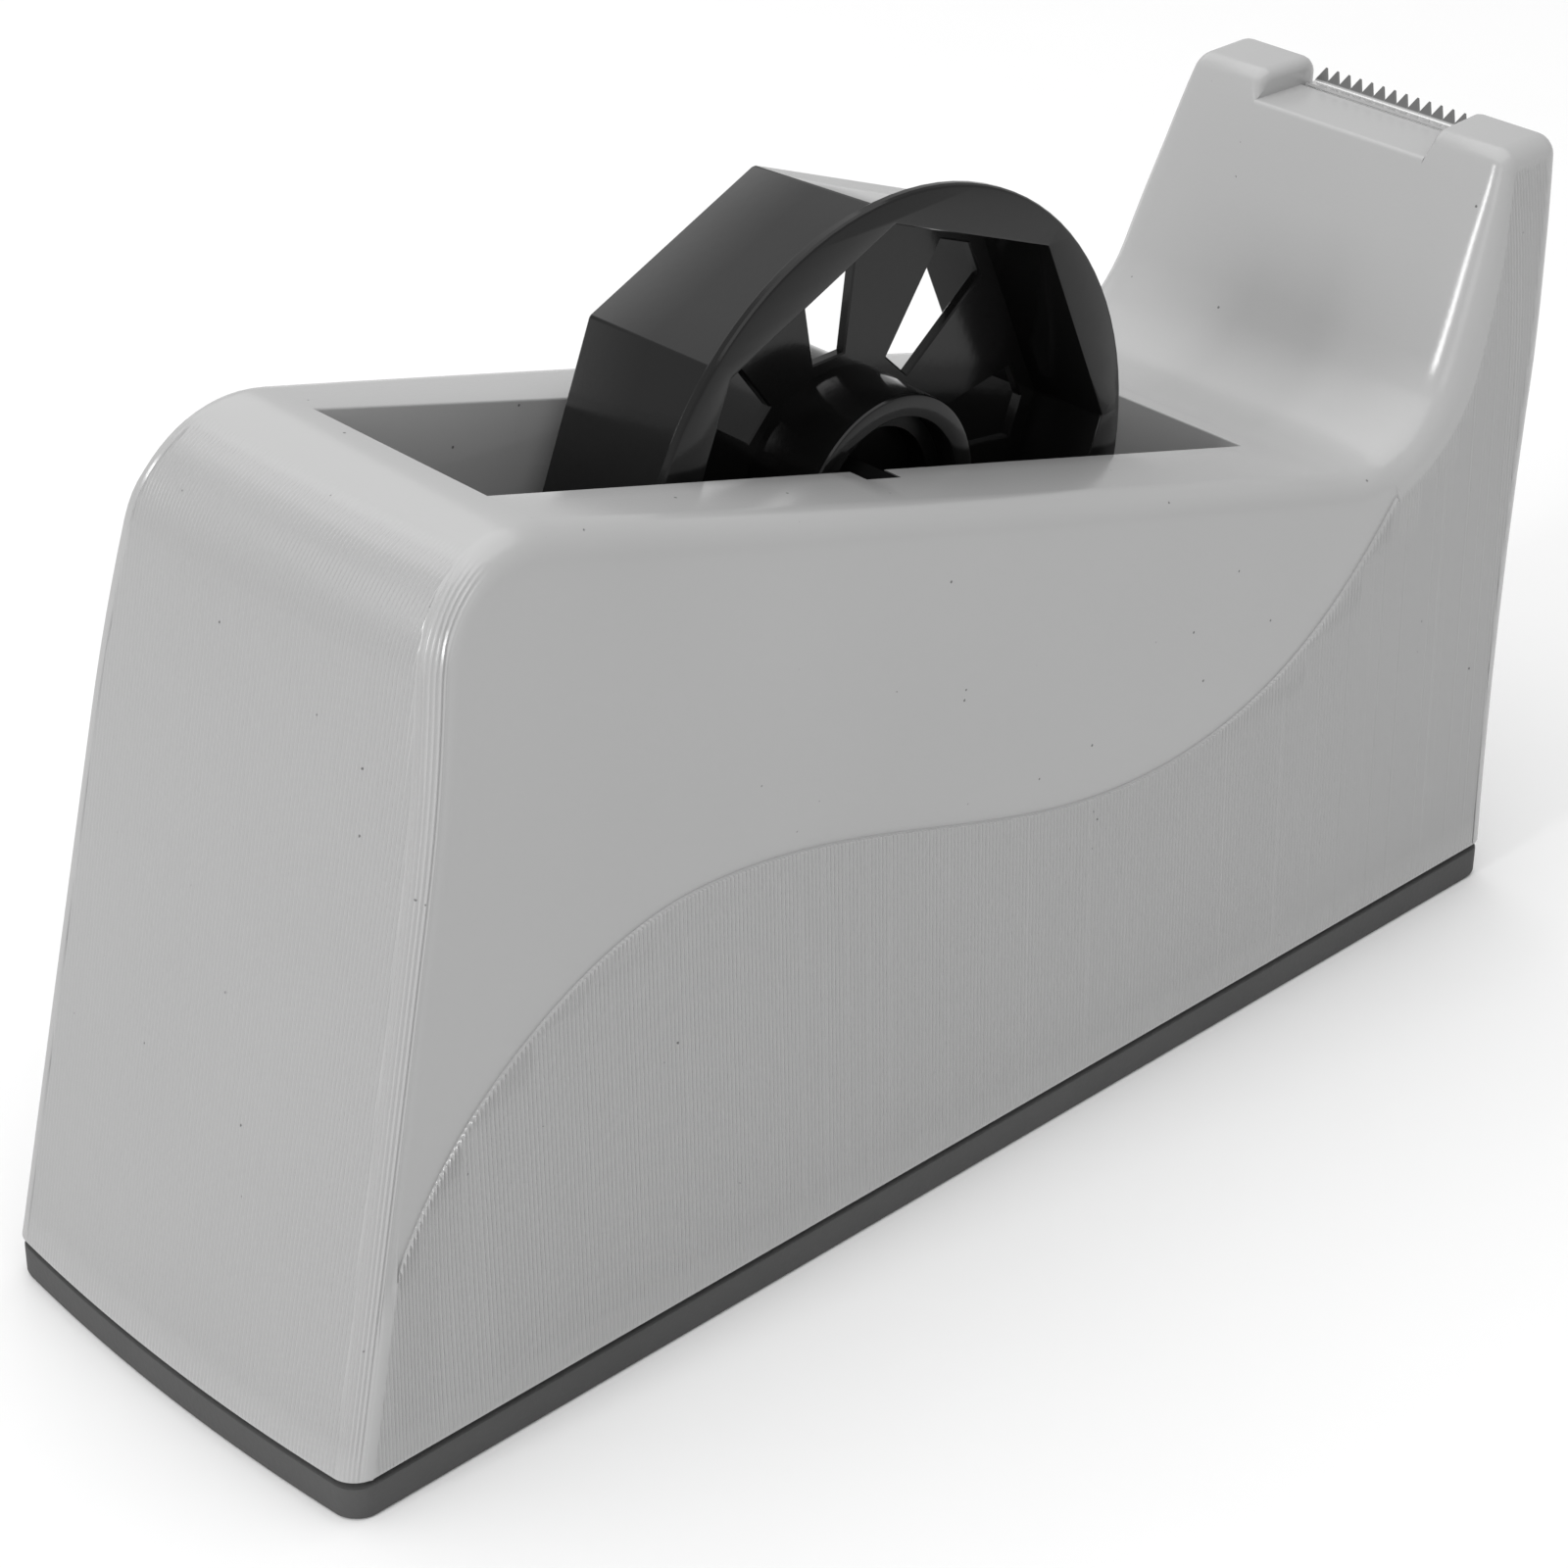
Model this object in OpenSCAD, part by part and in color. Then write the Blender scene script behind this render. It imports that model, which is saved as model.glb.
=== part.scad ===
// Weighted desk tape dispenser: a tapered shell with a sloping rim, a raised nose that carries a
// serrated blade, and an eight-sided core drum that turns on a lift-out spindle.
// X runs from the tail to the nose, Y across the tape, Z up. The origin is the centre of the
// shell's footprint, on the underside of the base pad.

/* [Shell] */
// Length of the shell along its bottom edge
base_l = 201; // [196:1:210]
// Width of the shell at its bottom edge
base_w = 64.8; // [63:0.2:70]
// Thickness of the moulded walls
wall = 2.4; // [2:0.1:2.8]
// Height of the rim above the table at mid-length
rim_h = 89.5; // [86:0.5:92]
// Slope of the rim down towards the nose, in degrees
rim_slope = 15.7; // [14:0.1:17]
// Lean of the tail face, in degrees from upright
tail_lean = 12.6; // [10:0.1:15]
// How far the middle of the tail face stands out past its corners
tail_bulge = 1.8; // [1:0.1:2.5]
// Radius of the crest between the tail face and the rim
crest_r = 16; // [12:1:20]
// Draft of the flanks, as inward travel per unit of height
draft = 0.033; // [0.02:0.001:0.05]
// Height above which the flanks turn in further
shoulder_z = 72; // [70:1:80]
// Strength of that turn, as inward travel per unit of height squared
shoulder_curve = 0.0027; // [0.001:0.0001:0.003]
// Depth of the smooth side panels below the ribbed skin
panel_step = 0.5; // [0.3:0.1:0.8]

/* [Nose] */
// Height of the two nose posts
post_h = 105.5; // [104:0.5:108]
// Height of the tape bed between the posts
bed_h = 102; // [100:0.5:102]
// Lean of the nose's rear face, in degrees from upright
nose_lean = 24.2; // [22:0.2:27]
// Where the rear face reaches the height of the tape bed
nose_x = 96; // [94:0.5:97]
// Radius of the hollow between the rim and the nose
hollow_r = 17; // [14:1:20]
// Radius of the hollow sweep of the front face
front_r = 600; // [560:10:800]
// Radius where the rear face turns into the post tops
brow_r = 3; // [2:0.5:4]
// Radius where the post tops turn into the front face
lip_r = 2.5; // [2:0.5:3]

/* [Well] */
// Length of the well for the tape roll
well_l = 125; // [120:1:128]
// Width of the well
well_w = 29.2; // [29:0.2:31]
// Height of the well's floor
well_floor = 20; // [16:1:24]
// Radius of the well's lower corners
well_r = 30; // [20:1:40]

/* [Core drum] */
// Height of the drum's axis
axis_h = 83; // [82:0.5:84]
// Distance of the drum's axis in front of mid-length
axis_x = 0.6; // [0:0.1:1]
// Radius of the drum over its eight corners, for a 76 mm tape core
drum_r = 38; // [37.5:0.1:38.2]
// Radius over the corners at the open end, which is smaller so that a core slides on
drum_tip_r = 36.8; // [36.5:0.1:37.5]
// Width of the drum, flange included
drum_w = 23.6; // [20:0.2:24]
// Radius of the flange
flange_r = 39.7; // [39:0.1:42]
// Thickness of the drum's walls and web
drum_wall = 1.5; // [1.2:0.1:2]
// Radius of the drum's bore
bore_r = 11.35; // [10:0.05:12]
// Radius of the boss at its outer end
boss_r = 14.1; // [13.5:0.1:15]
// Number of windows in the web, set behind the drum's corners
windows = 8; // [4:4:8]

/* [Spindle] */
// Radial running clearance between the spindle and the drum's bore
running_gap = 0.05; // [0.02:0.01:0.1]
// Thickness of the spindle's flat end tongues
tongue_t = 3.1; // [2.8:0.1:3.6]
// Side clearance of each tongue in its slot
slot_gap = 0.15; // [0.1:0.05:0.2]
// Lean of the slots back towards the tail, in degrees from upright
slot_lean = 39; // [36:1:42]
// Depth of each slot into the wall of the well
slot_depth = 3; // [2.5:0.1:3.2]

/* [Blade] */
// Width of the blade
blade_w = 25.2; // [24:0.1:27]
// Thickness of the blade's steel
blade_t = 0.5; // [0.4:0.1:0.6]
// Number of teeth
teeth = 13; // [9:1:17]
// Height of the teeth
tooth_h = 1.9; // [1.5:0.1:2.2]

/* [Base] */
// Thickness of the rubber pad
pad_t = 4.9; // [4:0.1:6]
// Height of the shadow gap between the pad and the shell
shadow_gap = 0.6; // [0.4:0.1:1]
// Thickness of the steel base plate
plate_t = 3; // [2:0.2:4]

/* [Hidden] */
$fn = 96;

shell_grey = "lightgray";
mould_black = [0.08, 0.08, 0.085];
steel = [0.78, 0.79, 0.8];
iron = [0.35, 0.35, 0.36];
rubber = [0.25, 0.25, 0.26];

shell_z = pad_t + shadow_gap;
plate_top = pad_t + plate_t;
tail_x = -base_l / 2;
front_x = base_l / 2;
// Radius of the tail face's bow in plan
tail_r = (pow(base_w / 2, 2) + pow(tail_bulge, 2)) / (2 * tail_bulge);
far = 400;

// --- plane geometry -------------------------------------------------------------------------

function unit(v) = v / norm(v);
function ray(angle) = [cos(angle), sin(angle)];

// Where the line through p in direction u meets the line through q in direction v
function meet(p, u, q, v) = p + u * cross(q - p, v) / cross(u, v);

// An arc of radius r that rounds the corner b of the path a-b-c
function round_corner(a, b, c, r, steps = 10) =
    let (u = unit(a - b), v = unit(c - b), half = acos(u * v) / 2,
         centre = b + unit(u + v) * r / sin(half),
         start = b + u * r / tan(half), stop = b + v * r / tan(half),
         side = cross(start - centre, stop - centre) > 0 ? 1 : -1,
         sweep = side * (180 - 2 * half), first = atan2(start.y - centre.y, start.x - centre.x))
    [for (i = [0:steps]) centre + r * ray(first + sweep * i / steps)];

// Closed outline of the given corners, each rounded by the radius beside it, or sharp for zero
function rounded(corners, radii) =
    let (n = len(corners))
    [for (i = [0:n - 1])
        each (radii[i] == 0 ? [corners[i]]
            : round_corner(corners[(i + n - 1) % n], corners[i], corners[(i + 1) % n], radii[i]))];

module along_x(length) rotate([90, 0, 90]) linear_extrude(length, center = true) children();
module along_y(length) rotate([90, 0, 0]) linear_extrude(length, center = true) children();

// --- shell outline --------------------------------------------------------------------------

// Half width of the shell at height z: a straight draft that turns in above the shoulder
function half_width(z) =
    base_w / 2 - draft * (z - shell_z) - shoulder_curve * pow(max(0, z - shoulder_z), 2);

// Front face at height z: upright at the bottom edge, sweeping forward to the blade
function front_at(z) = front_x + front_r - sqrt(pow(front_r, 2) - pow(z - shell_z, 2));

function rim_z(x) = rim_h - tan(rim_slope) * x;

// Side profile of the shell, moved inwards by t, from z_low up to z_high
function side_profile(t, z_low, z_high) =
    let (tail_dir = ray(90 - tail_lean), rim_dir = ray(-rim_slope), nose_dir = ray(90 - nose_lean),
         tail_p = [tail_x - tail_bulge + t / cos(tail_lean), shell_z],
         rim_p = [0, rim_h - t / cos(rim_slope)],
         nose_p = [nose_x + t / cos(nose_lean), bed_h],
         crest = meet(tail_p, tail_dir, rim_p, rim_dir),
         hollow = meet(rim_p, rim_dir, nose_p, nose_dir),
         brow = meet(nose_p, nose_dir, [0, z_high], [1, 0]),
         steps = 8,
         front = [for (i = [0:steps]) let (z = z_low + (z_high - z_low) * i / steps)
                     [front_at(z) - t, z]])
    rounded(concat([meet(tail_p, tail_dir, [0, z_low], [1, 0])], front, [brow, hollow, crest]),
            concat([for (i = [0:steps]) 0],
                   [max(0, lip_r - t), max(0, brow_r - t), hollow_r + t, crest_r - t]));

// Cross-section of the shell, moved inwards by t
function cross_profile(t, z_low, z_high) =
    let (steps = 14, z = [for (i = [0:steps]) z_low + (z_high - z_low) * i / steps])
    concat([for (i = [0:steps]) [half_width(z[i]) - t, z[i]]],
           [for (i = [steps:-1:0]) [t - half_width(z[i]), z[i]]]);

// The space inside the shell's skin, moved inwards by t
module envelope(t, z_low, z_high) {
    intersection() {
        along_y(far) polygon(side_profile(t, z_low, z_high));
        along_x(far) polygon(cross_profile(t, z_low, z_high + 10));
        translate([tail_x - tail_bulge, 0, shell_z]) rotate([0, tail_lean, 0])
            translate([tail_r, 0, 0]) cylinder(r = tail_r - t, h = far, center = true);
    }
}

// A point at s, from 0 to 1, along the curve with four control points p
function bezier(p, s) =
    pow(1 - s, 3) * p[0] + 3 * pow(1 - s, 2) * s * p[1] + 3 * (1 - s) * s * s * p[2] + pow(s, 3) * p[3];

// Lower edge of the smooth panel on each flank: up the tail, over a crest, through a trough and
// up to the nose, as side-view points
wave_tail = [-98, 20];
wave_crest = [-47, 58.8];
wave_trough = [29, 43.6];
wave_nose = [77.5, 68];
wave_curves = [[wave_tail, [-94, 36], [-70, wave_crest.y], wave_crest],
               [wave_crest, [-20, wave_crest.y], [2, wave_trough.y], wave_trough],
               [wave_trough, [56, wave_trough.y], [69, 58], wave_nose]];

module flank_panels() {
    steps = 10;
    wave = [for (c = wave_curves) for (i = [0:steps - 1]) bezier(c, i / steps)];
    above = post_h + 10;
    tail_top = wave_tail.x + tan(tail_lean) * (above - wave_tail.y);
    difference() {
        along_y(far) polygon(concat(wave, [wave_nose, [wave_nose.x, above], [tail_top, above]]));
        along_x(far) polygon(cross_profile(panel_step, 0, above));
    }
}

// --- shell ----------------------------------------------------------------------------------

// Side view of the well, grown by t
module well_solid(t) {
    half = well_l / 2 + t;
    low = well_floor - t;
    corners = [[-half, low], [half, low], [half, far], [-half, far]];
    along_y(well_w + 2 * t) polygon(rounded(corners, [well_r + t, well_r + t, 0, 0]));
}

// Places children on the drum's axis, with their Z along the row's Y
module on_axis() translate([axis_x, 0, axis_h]) rotate([-90, 0, 0]) children();

slot_w = tongue_t + 2 * slot_gap;
// Depth of the slots' rounded foot below the drum's axis
slot_foot = 2;

// A bar along Y with a rounded foot, its height lying along the slots
module slot_bar(width, foot, up, reach) {
    translate([axis_x, 0, axis_h]) rotate([0, -slot_lean, 0]) {
        translate([0, 0, -foot]) along_y(2 * reach) circle(d = width);
        translate([-width / 2, -reach, -foot]) cube([width, 2 * reach, up + foot]);
    }
}

// Base screws and the bosses that take them, at three pairs of places along the plate's edges
screw_r = 1.45;
screw_gap = 0.05;
screw_boss_r = 3.5;
boss_top = 26;
boss_roof = 3;
boss_places = [for (x = [-90, 0, 90]) for (y = [-23.4, 23.4]) [x, y]];

module screw_bosses() {
    rib_t = 2;
    intersection() {
        envelope(wall / 2, shell_z, bed_h);
        for (p = boss_places) {
            translate([p.x, p.y, plate_top]) cylinder(r = screw_boss_r, h = boss_top - plate_top);
            translate([p.x - rib_t / 2, min(p.y, sign(p.y) * base_w / 2), plate_top])
                cube([rib_t, base_w / 2 - abs(p.y), boss_top - plate_top]);
        }
    }
}

// Blocks behind the well's walls that the slots are cut into
module slot_blocks() {
    block_l = 24;
    block_x = -2;
    block_h = 30;
    below_axis = 8;
    back = 2;
    block_w = well_w + 2 * (slot_depth + back);
    intersection() {
        envelope(wall / 2, shell_z, bed_h);
        translate([block_x - block_l / 2, -block_w / 2, axis_h - below_axis])
            cube([block_l, block_w, block_h]);
    }
}

// Blade: where its tang reaches the tape bed, its lean back from upright, and its length
blade_x = 105.6;
blade_lean = 18;
blade_gap = 0.1;
tang_l = 15;
// Clamp behind the tang, with its middle below the bed, and the two screws through it
clamp_t = 3;
clamp_w = 24;
clamp_h = 8;
clamp_z = -9.5;
blade_screw_y = 8;
blade_screw_r = 1.5;
blade_screw_gap = 0.1;
thread_gap = 0.02;
thread_l = 2.6;

// The blade's own frame: Z runs up the tang to the bend at the height of the tape bed
module in_blade_frame() translate([blade_x, 0, bed_h]) rotate([0, blade_lean, 0]) children();

// Solid ground in front of the tang for the clamp screws
module blade_ground() {
    ground_w = blade_w + 4;
    ground_h = tang_l + 2;
    intersection() {
        envelope(wall / 2, shell_z, bed_h);
        in_blade_frame() translate([blade_t / 2 + blade_gap, -ground_w / 2, -ground_h])
            cube([12, ground_w, ground_h]);
    }
}

// Gap between the posts, a little wider towards the tail, with the blade's slot through its bed.
// In front of the blade the bed drops away, so that its teeth stand clear.
module tape_bed_cut() {
    mouth = blade_w / 2 + 2.6;
    throat = blade_w / 2 + 0.6;
    bed_start = nose_x - 16;
    bed_end = blade_x + 6.4;
    slot_h = tang_l + 3;
    above = 6;
    drop_x = blade_x + 1.3;
    drop = 5;
    translate([0, 0, bed_h]) linear_extrude(2 * above)
        polygon([[bed_start, -mouth], [bed_end, -throat], [bed_end, throat], [bed_start, mouth]]);
    in_blade_frame() translate([-blade_t / 2 - blade_gap, -throat, -slot_h])
        cube([blade_t + 2 * blade_gap, 2 * throat, slot_h + above]);
    translate([drop_x, -throat, bed_h - drop]) cube([bed_end - drop_x, 2 * throat, drop + above]);
}

// Holes for the two blade screws, from behind the clamp to `depth` in front of the tang's middle
module blade_screw_holes(r, depth) {
    behind = 8;
    for (y = [-blade_screw_y, blade_screw_y]) in_blade_frame()
        translate([-behind, y, clamp_z]) rotate([0, 90, 0]) cylinder(r = r, h = behind + depth);
}

module shell() color(shell_grey) difference() {
    union() {
        difference() {
            envelope(0, shell_z, post_h);
            difference() {
                envelope(wall, shell_z - 1, bed_h - wall);
                well_solid(wall);
            }
        }
        screw_bosses();
        slot_blocks();
        blade_ground();
    }
    well_solid(0);
    slot_bar(slot_w, slot_foot, 30, well_w / 2 + slot_depth);
    tape_bed_cut();
    flank_panels();
    for (p = boss_places) translate([p.x, p.y, 0])
        cylinder(r = screw_r + screw_gap, h = boss_top - boss_roof);
    blade_screw_holes(blade_screw_r + thread_gap, thread_l + 0.4);
}

// --- base -----------------------------------------------------------------------------------

// Plan outline of the shell's footprint, moved inwards by t
module footprint(t) {
    intersection() {
        square([base_l + 2 * far, base_w - 2 * t], center = true);
        translate([tail_x - tail_bulge + tail_r, 0]) circle(tail_r - t, $fn = 360);
        translate([-far, -far / 2]) square([front_x - t + far, far]);
    }
}

// The plate stands clear of the shell's walls, whose tail leans in over it
plate_inset = wall + 0.8;
screw_head_r = 3;
screw_head_h = 1.6;
screw_l = 14;
bolt_r = 2;
bolt_l = 16;
bolt_head_r = 3.8;
bolt_head_h = 2;
bolt_places = [for (x = [-78, 80]) for (y = [-10, 10]) [x, y]];

// A countersunk fastener standing on its head
module countersunk(r, head_r, head_height, length) {
    cylinder(r1 = head_r, r2 = r, h = head_height);
    cylinder(r = r, h = length);
}

module base_plate() color(iron) difference() {
    translate([0, 0, pad_t]) linear_extrude(plate_t) footprint(plate_inset);
    for (p = boss_places) translate([p.x, p.y, pad_t])
        countersunk(screw_r + screw_gap, screw_head_r + screw_gap, screw_head_h, plate_t + 1);
    for (p = bolt_places) translate([p.x, p.y, pad_t])
        countersunk(bolt_r + screw_gap, bolt_head_r + screw_gap, bolt_head_h, plate_t + 1);
}

module base_pad() color(rubber) linear_extrude(pad_t) footprint(0);

module base_screws() color(steel)
    for (p = boss_places) translate([p.x, p.y, pad_t])
        countersunk(screw_r, screw_head_r, screw_head_h, screw_l);

// The two ballast blocks fill the ends of the shell on either side of the well
ballast_w = 37;
ballast_top = 62;
ballast_x = well_l / 2 + 4;
tail_outline = [[-95.5, plate_top], [-ballast_x, plate_top], [-ballast_x, ballast_top], [-84, ballast_top]];
nose_outline = [[ballast_x, plate_top], [96, plate_top], [97, ballast_top], [ballast_x, ballast_top]];

module bolted_block(outline) difference() {
    along_y(ballast_w) polygon(outline);
    for (p = bolt_places) translate([p.x, p.y, 0]) cylinder(r = bolt_r + screw_gap, h = pad_t + bolt_l + 2);
}

module tail_ballast() color(iron) bolted_block(tail_outline);

module nose_ballast() color(iron) bolted_block(nose_outline);

module ballast_bolts() color(steel)
    for (p = bolt_places) translate([p.x, p.y, pad_t])
        countersunk(bolt_r, bolt_head_r, bolt_head_h, bolt_l);

// --- blade ----------------------------------------------------------------------------------

// The strip leaves the slot, runs forward over the bed's front edge and turns up into the teeth
fold_l = 1.6;
tooth_lean = 28;
tooth_band = 0.5;

// Teeth standing on a plain band, as a flat sheet that grows along Y
module tooth_row() {
    pitch = blade_w / teeth;
    left = -blade_w / 2;
    linear_extrude(blade_t) polygon(concat(
        [[-left, 0], [-left, tooth_band]],
        [for (i = [teeth - 1:-1:0]) each [[left + (i + 0.5) * pitch, tooth_band + tooth_h],
                                         [left + i * pitch, tooth_band]]],
        [[left, 0]]));
}

module blade() color(steel) difference() {
    bend_overlap = 0.2;
    union() {
        in_blade_frame() translate([-blade_t / 2, -blade_w / 2, -tang_l])
            cube([blade_t, blade_w, tang_l + bend_overlap]);
        translate([blade_x - blade_t / 2, -blade_w / 2, bed_h]) cube([fold_l, blade_w, blade_t]);
        translate([blade_x - blade_t / 2 + fold_l, 0, bed_h]) rotate([0, tooth_lean, 0])
            rotate([90, 0, -90]) mirror([1, 0, 0]) tooth_row();
    }
    blade_screw_holes(blade_screw_r + blade_screw_gap, clamp_t);
}

module blade_clamp() color(steel) difference() {
    in_blade_frame() translate([-blade_t / 2 - clamp_t, -clamp_w / 2, clamp_z - clamp_h / 2])
        cube([clamp_t, clamp_w, clamp_h]);
    blade_screw_holes(blade_screw_r + blade_screw_gap, clamp_t);
}

module blade_screws() color(steel) {
    head_r = 2.7;
    head_h = 1.8;
    for (y = [-blade_screw_y, blade_screw_y]) in_blade_frame()
        translate([-blade_t / 2 - clamp_t, y, clamp_z]) rotate([0, 90, 0]) {
            cylinder(r = blade_screw_r, h = clamp_t + blade_t + thread_l);
            translate([0, 0, -head_h]) cylinder(r = head_r, h = head_h);
        }
}

// --- spindle and drum -----------------------------------------------------------------------

// Stations along Y of the drum's flange face, its open end and its web
flange_y = -12.9;
tip_y = flange_y + drum_w;
web_y = -2;
flange_t = 1.5;
// How far the boss stands back from the flange face and from the open end
ring_recess = 0.8;
tip_recess = 0.5;

// Hollow journal, set back inside the boss at the flange, with a collar at the open end. Two discs
// close it inside its ends, and carry the flat tongues that reach out into the slots.
module spindle() color(mould_black) {
    wall_t = 2;
    journal_recess = 3;
    end_recess = 3;
    disc_t = 2;
    collar_r = 13;
    collar_t = 1.2;
    collar_y = tip_y - tip_recess + 0.1;
    near_y = flange_y + ring_recess + journal_recess;
    length = collar_y + collar_t - near_y;
    journal_r = bore_r - running_gap;
    // The discs' outer faces, and the length between them
    discs_y = near_y + end_recess;
    discs_l = length - 2 * end_recess;
    hollows = [[near_y - 1, end_recess + 1], [discs_y + disc_t, discs_l - 2 * disc_t],
               [discs_y + discs_l, end_recess + 1]];
    on_axis() difference() {
        union() {
            translate([0, 0, near_y]) cylinder(r = journal_r, h = length);
            translate([0, 0, collar_y]) cylinder(r = collar_r, h = collar_t);
        }
        for (hollow = hollows) translate([0, 0, hollow[0]]) cylinder(r = journal_r - wall_t, h = hollow[1]);
    }
    difference() {
        slot_bar(tongue_t, slot_foot - 0.1, 8, well_w / 2 + slot_depth - 0.3);
        on_axis() translate([0, 0, discs_y + disc_t / 2]) cylinder(r = far, h = discs_l - disc_t);
    }
}

// Windows: half angle at the drum's axis, and the radii of the inner edge and the outer point
window_half = 8.8;
window_low_r = 16.3;
window_tip_r = 33.3;
// Rest angle of the drum's first corner, from +X
drum_turn = 1.2;

// A window whose outer edges run parallel to the two flats that meet at the corner
module corner_window() {
    edge_r = window_tip_r * cos(22.5) / cos(22.5 - window_half);
    polygon([window_low_r * ray(-window_half), edge_r * ray(-window_half), [window_tip_r, 0],
             edge_r * ray(window_half), window_low_r * ray(window_half)]);
}

module drum() color(mould_black) on_axis() rotate([0, 0, -drum_turn]) difference() {
    boss_base_r = 14.6;
    inner = drum_wall / cos(22.5);
    flange_tip = flange_y + ring_recess;
    union() {
        translate([0, 0, flange_y]) difference() {
            union() {
                cylinder(r1 = drum_r, r2 = drum_tip_r, h = drum_w, $fn = 8);
                cylinder(r = flange_r, h = flange_t);
            }
            translate([0, 0, -1])
                cylinder(r1 = drum_r - inner, r2 = drum_tip_r - inner, h = drum_w + 2, $fn = 8);
        }
        translate([0, 0, web_y]) linear_extrude(drum_wall) difference() {
            circle(r = drum_r - inner / 2, $fn = 8);
            for (i = [0:windows - 1]) rotate(360 / windows * i) corner_window();
        }
        translate([0, 0, flange_tip]) cylinder(r1 = boss_r, r2 = boss_base_r, h = web_y - flange_tip);
        translate([0, 0, web_y]) cylinder(r = boss_r, h = tip_y - tip_recess - web_y);
    }
    translate([0, 0, flange_y - 1]) cylinder(r = bore_r, h = drum_w + 2);
}

shell();
base_plate();
base_pad();
base_screws();
tail_ballast();
nose_ballast();
ballast_bolts();
blade();
blade_clamp();
blade_screws();
spindle();
drum();
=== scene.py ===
"""Weighted desk tape dispenser: its looks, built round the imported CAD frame.

The mesh helpers work in millimetres, in the frame's own axes; pieces are scaled to metres as they are made.
"""

import math

import bmesh
import bpy
import numpy as np
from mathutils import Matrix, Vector
from mathutils.geometry import tessellate_polygon


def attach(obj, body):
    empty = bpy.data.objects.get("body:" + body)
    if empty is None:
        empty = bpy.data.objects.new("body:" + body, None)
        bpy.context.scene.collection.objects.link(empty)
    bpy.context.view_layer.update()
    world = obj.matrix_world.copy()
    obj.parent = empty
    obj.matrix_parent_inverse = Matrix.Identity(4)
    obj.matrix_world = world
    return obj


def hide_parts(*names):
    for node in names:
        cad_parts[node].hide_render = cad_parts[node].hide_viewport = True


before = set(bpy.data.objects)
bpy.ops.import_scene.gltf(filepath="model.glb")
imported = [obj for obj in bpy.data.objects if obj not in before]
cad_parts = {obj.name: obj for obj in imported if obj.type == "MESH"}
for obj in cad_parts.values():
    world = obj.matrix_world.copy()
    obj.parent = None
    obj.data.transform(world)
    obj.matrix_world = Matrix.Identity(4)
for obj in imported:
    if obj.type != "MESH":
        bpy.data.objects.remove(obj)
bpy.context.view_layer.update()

MM = 0.001

# Shell, in millimetres
SHELL_Z = 5.5
BASE_W = 64.8
TAIL_X, FRONT_X = -100.5, 100.5
TAIL_BULGE = 1.8
TAIL_LEAN, RIM_SLOPE, NOSE_LEAN = map(math.radians, (12.6, 15.7, 24.2))
RIM_H = 89.5
POST_H, BED_H = 105.5, 102.0
NOSE_X = 96.0
BED_END = 106.9
FRONT_R = 600.0
PANEL_STEP, STEP_RUN = 0.5, 0.08
WELL_HALF_L, WELL_HALF_W, WELL_FLOOR, WELL_R = 62.5, 14.6, 20.0, 30.0
WELL_EDGE = 0.3
WELL_MOUTH = WELL_HALF_W + WELL_EDGE
SLOT_LEAN, SLOT_W, SLOT_FOOT, SLOT_DEPTH = math.radians(39), 3.4, 2.0, 3.0
SLOT_BACK = WELL_HALF_W + SLOT_DEPTH
AXIS = np.array([0.6, 83.0])

# Ribbed skin: pitch and heights of the ribs, the plain lip below them, and where they end behind the well
PITCH, RIB, TAIL_RIB, CORNER_RIB = 0.6, 0.22, 0.25, 0.18
FOOT_LIP = 0.5
RIB_END_X, RIB_END_RUN = -73.4, 1.5
# The corner between tail and flank carries nine ribs a quarter turn, which stop short of the flank
CORNER_RIBS, CORNER_LIMIT, CORNER_RUN = 9, math.radians(66), math.radians(8)
STEP, TAIL_STEP = PITCH / 4, PITCH / 6
TAIL_ARC_STEPS, ARC_STEPS = 4 * CORNER_RIBS, 6


def unit(v):
    return v / np.linalg.norm(v)


def smooth(t):
    t = np.clip(t, 0, 1)
    return t * t * (3 - 2 * t)


def half_width(z):
    return BASE_W / 2 - 0.033 * (z - SHELL_Z) - 0.0027 * np.maximum(0, z - 72) ** 2


def front_x(z):
    return FRONT_X + FRONT_R - np.sqrt(FRONT_R**2 - (z - SHELL_Z) ** 2)


def tail_x(z):
    return TAIL_X - TAIL_BULGE + (z - SHELL_Z) * math.tan(TAIL_LEAN)


def rim_z(x):
    return RIM_H - math.tan(RIM_SLOPE) * x


def recess_half(x):
    """Half the gap between the posts, which narrows towards the blade."""
    return 15.2 - (x - 80) * 1.95 / 32


def meet(p, u, q, v):
    """Where the line through p along u meets the line through q along v."""
    return p + u * (np.cross(q - p, v) / np.cross(u, v))


def bezier(p, s):
    a, b, c, d = (np.array(q, float) for q in p)
    s = s[:, None]
    return (1 - s) ** 3 * a + 3 * (1 - s) ** 2 * s * b + 3 * (1 - s) * s * s * c + s**3 * d


# Lower edge of the flank's smooth panel, as three curves from the tail to the nose; no panel lies beyond them
PANEL_TAIL, PANEL_TAIL_RUN = (-98, 20), 1.2
NO_PANEL = 200
WAVE = np.concatenate(
    [
        bezier(curve, np.linspace(0, 1, 40))
        for curve in (
            (PANEL_TAIL, (-94, 36), (-70, 58.8), (-47, 58.8)),
            ((-47, 58.8), (-20, 58.8), (2, 43.6), (29, 43.6)),
            ((29, 43.6), (56, 43.6), (69, 58), (77.5, 68)),
        )
    ]
)


def wave_z(x):
    return np.interp(x, WAVE[:, 0], WAVE[:, 1], left=NO_PANEL, right=NO_PANEL)


def rib_depth(along, height):
    return height / 2 * (1 - math.cos(2 * math.pi * along / PITCH))


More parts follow.
